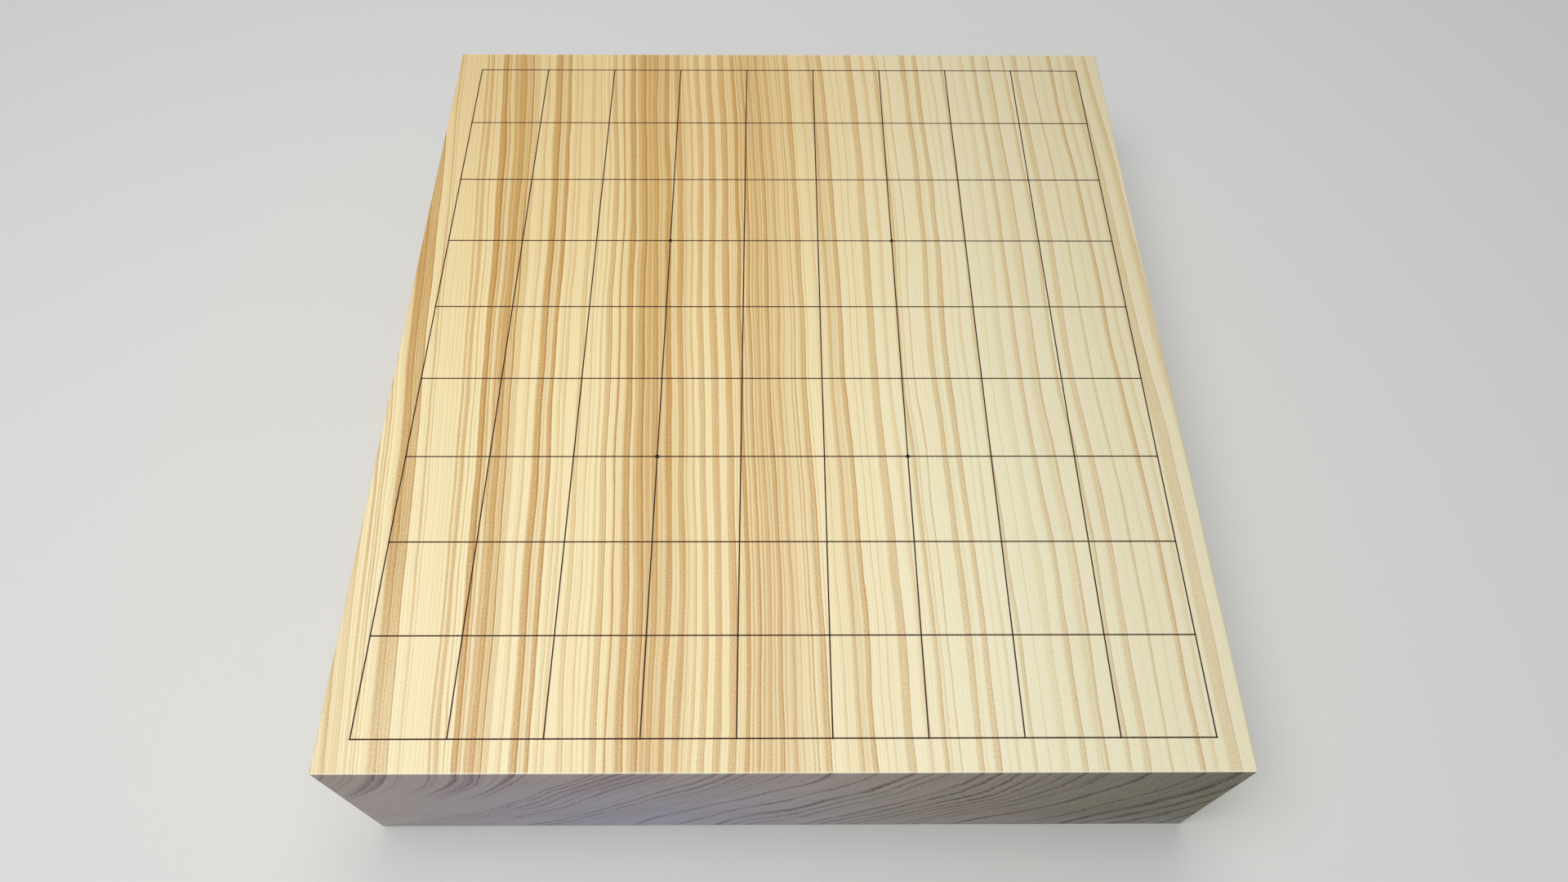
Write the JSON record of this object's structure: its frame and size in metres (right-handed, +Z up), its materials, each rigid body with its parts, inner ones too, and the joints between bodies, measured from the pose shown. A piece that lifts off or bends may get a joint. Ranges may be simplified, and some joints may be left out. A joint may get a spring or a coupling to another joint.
{
  "type": "tabletop shogi board",
  "caption": "Thick one-piece wooden shogi board with eased edges, a grid of raised lacquer lines and small star points, to stand on a table.",
  "frame": {"origin": "centre of the underside, on the table", "axes": "+Z up, +X across the files to the near player's right, +Y along the files from the near player to the far one"},
  "size_m": [0.333, 0.364, 0.0914],
  "materials": {
    "timber": "planed and waxed, satin",
    "lacquer": "dark brown-black lacquer, laid as raised lines, soft gloss"
  },
  "bodies": {
    "root": {"board_slab": "timber", "file_line_1": "lacquer", "file_line_2": "lacquer", "file_line_3": "lacquer", "file_line_4": "lacquer", "file_line_5": "lacquer", "file_line_6": "lacquer", "file_line_7": "lacquer", "file_line_8": "lacquer", "file_line_9": "lacquer", "file_line_10": "lacquer", "rank_line_1": "lacquer", "rank_line_2": "lacquer", "rank_line_3": "lacquer", "rank_line_4": "lacquer", "rank_line_5": "lacquer", "rank_line_6": "lacquer", "rank_line_7": "lacquer", "rank_line_8": "lacquer", "rank_line_9": "lacquer", "rank_line_10": "lacquer", "star_near_left": "lacquer", "star_near_right": "lacquer", "star_far_left": "lacquer", "star_far_right": "lacquer"}
  },
  "joints": []
}
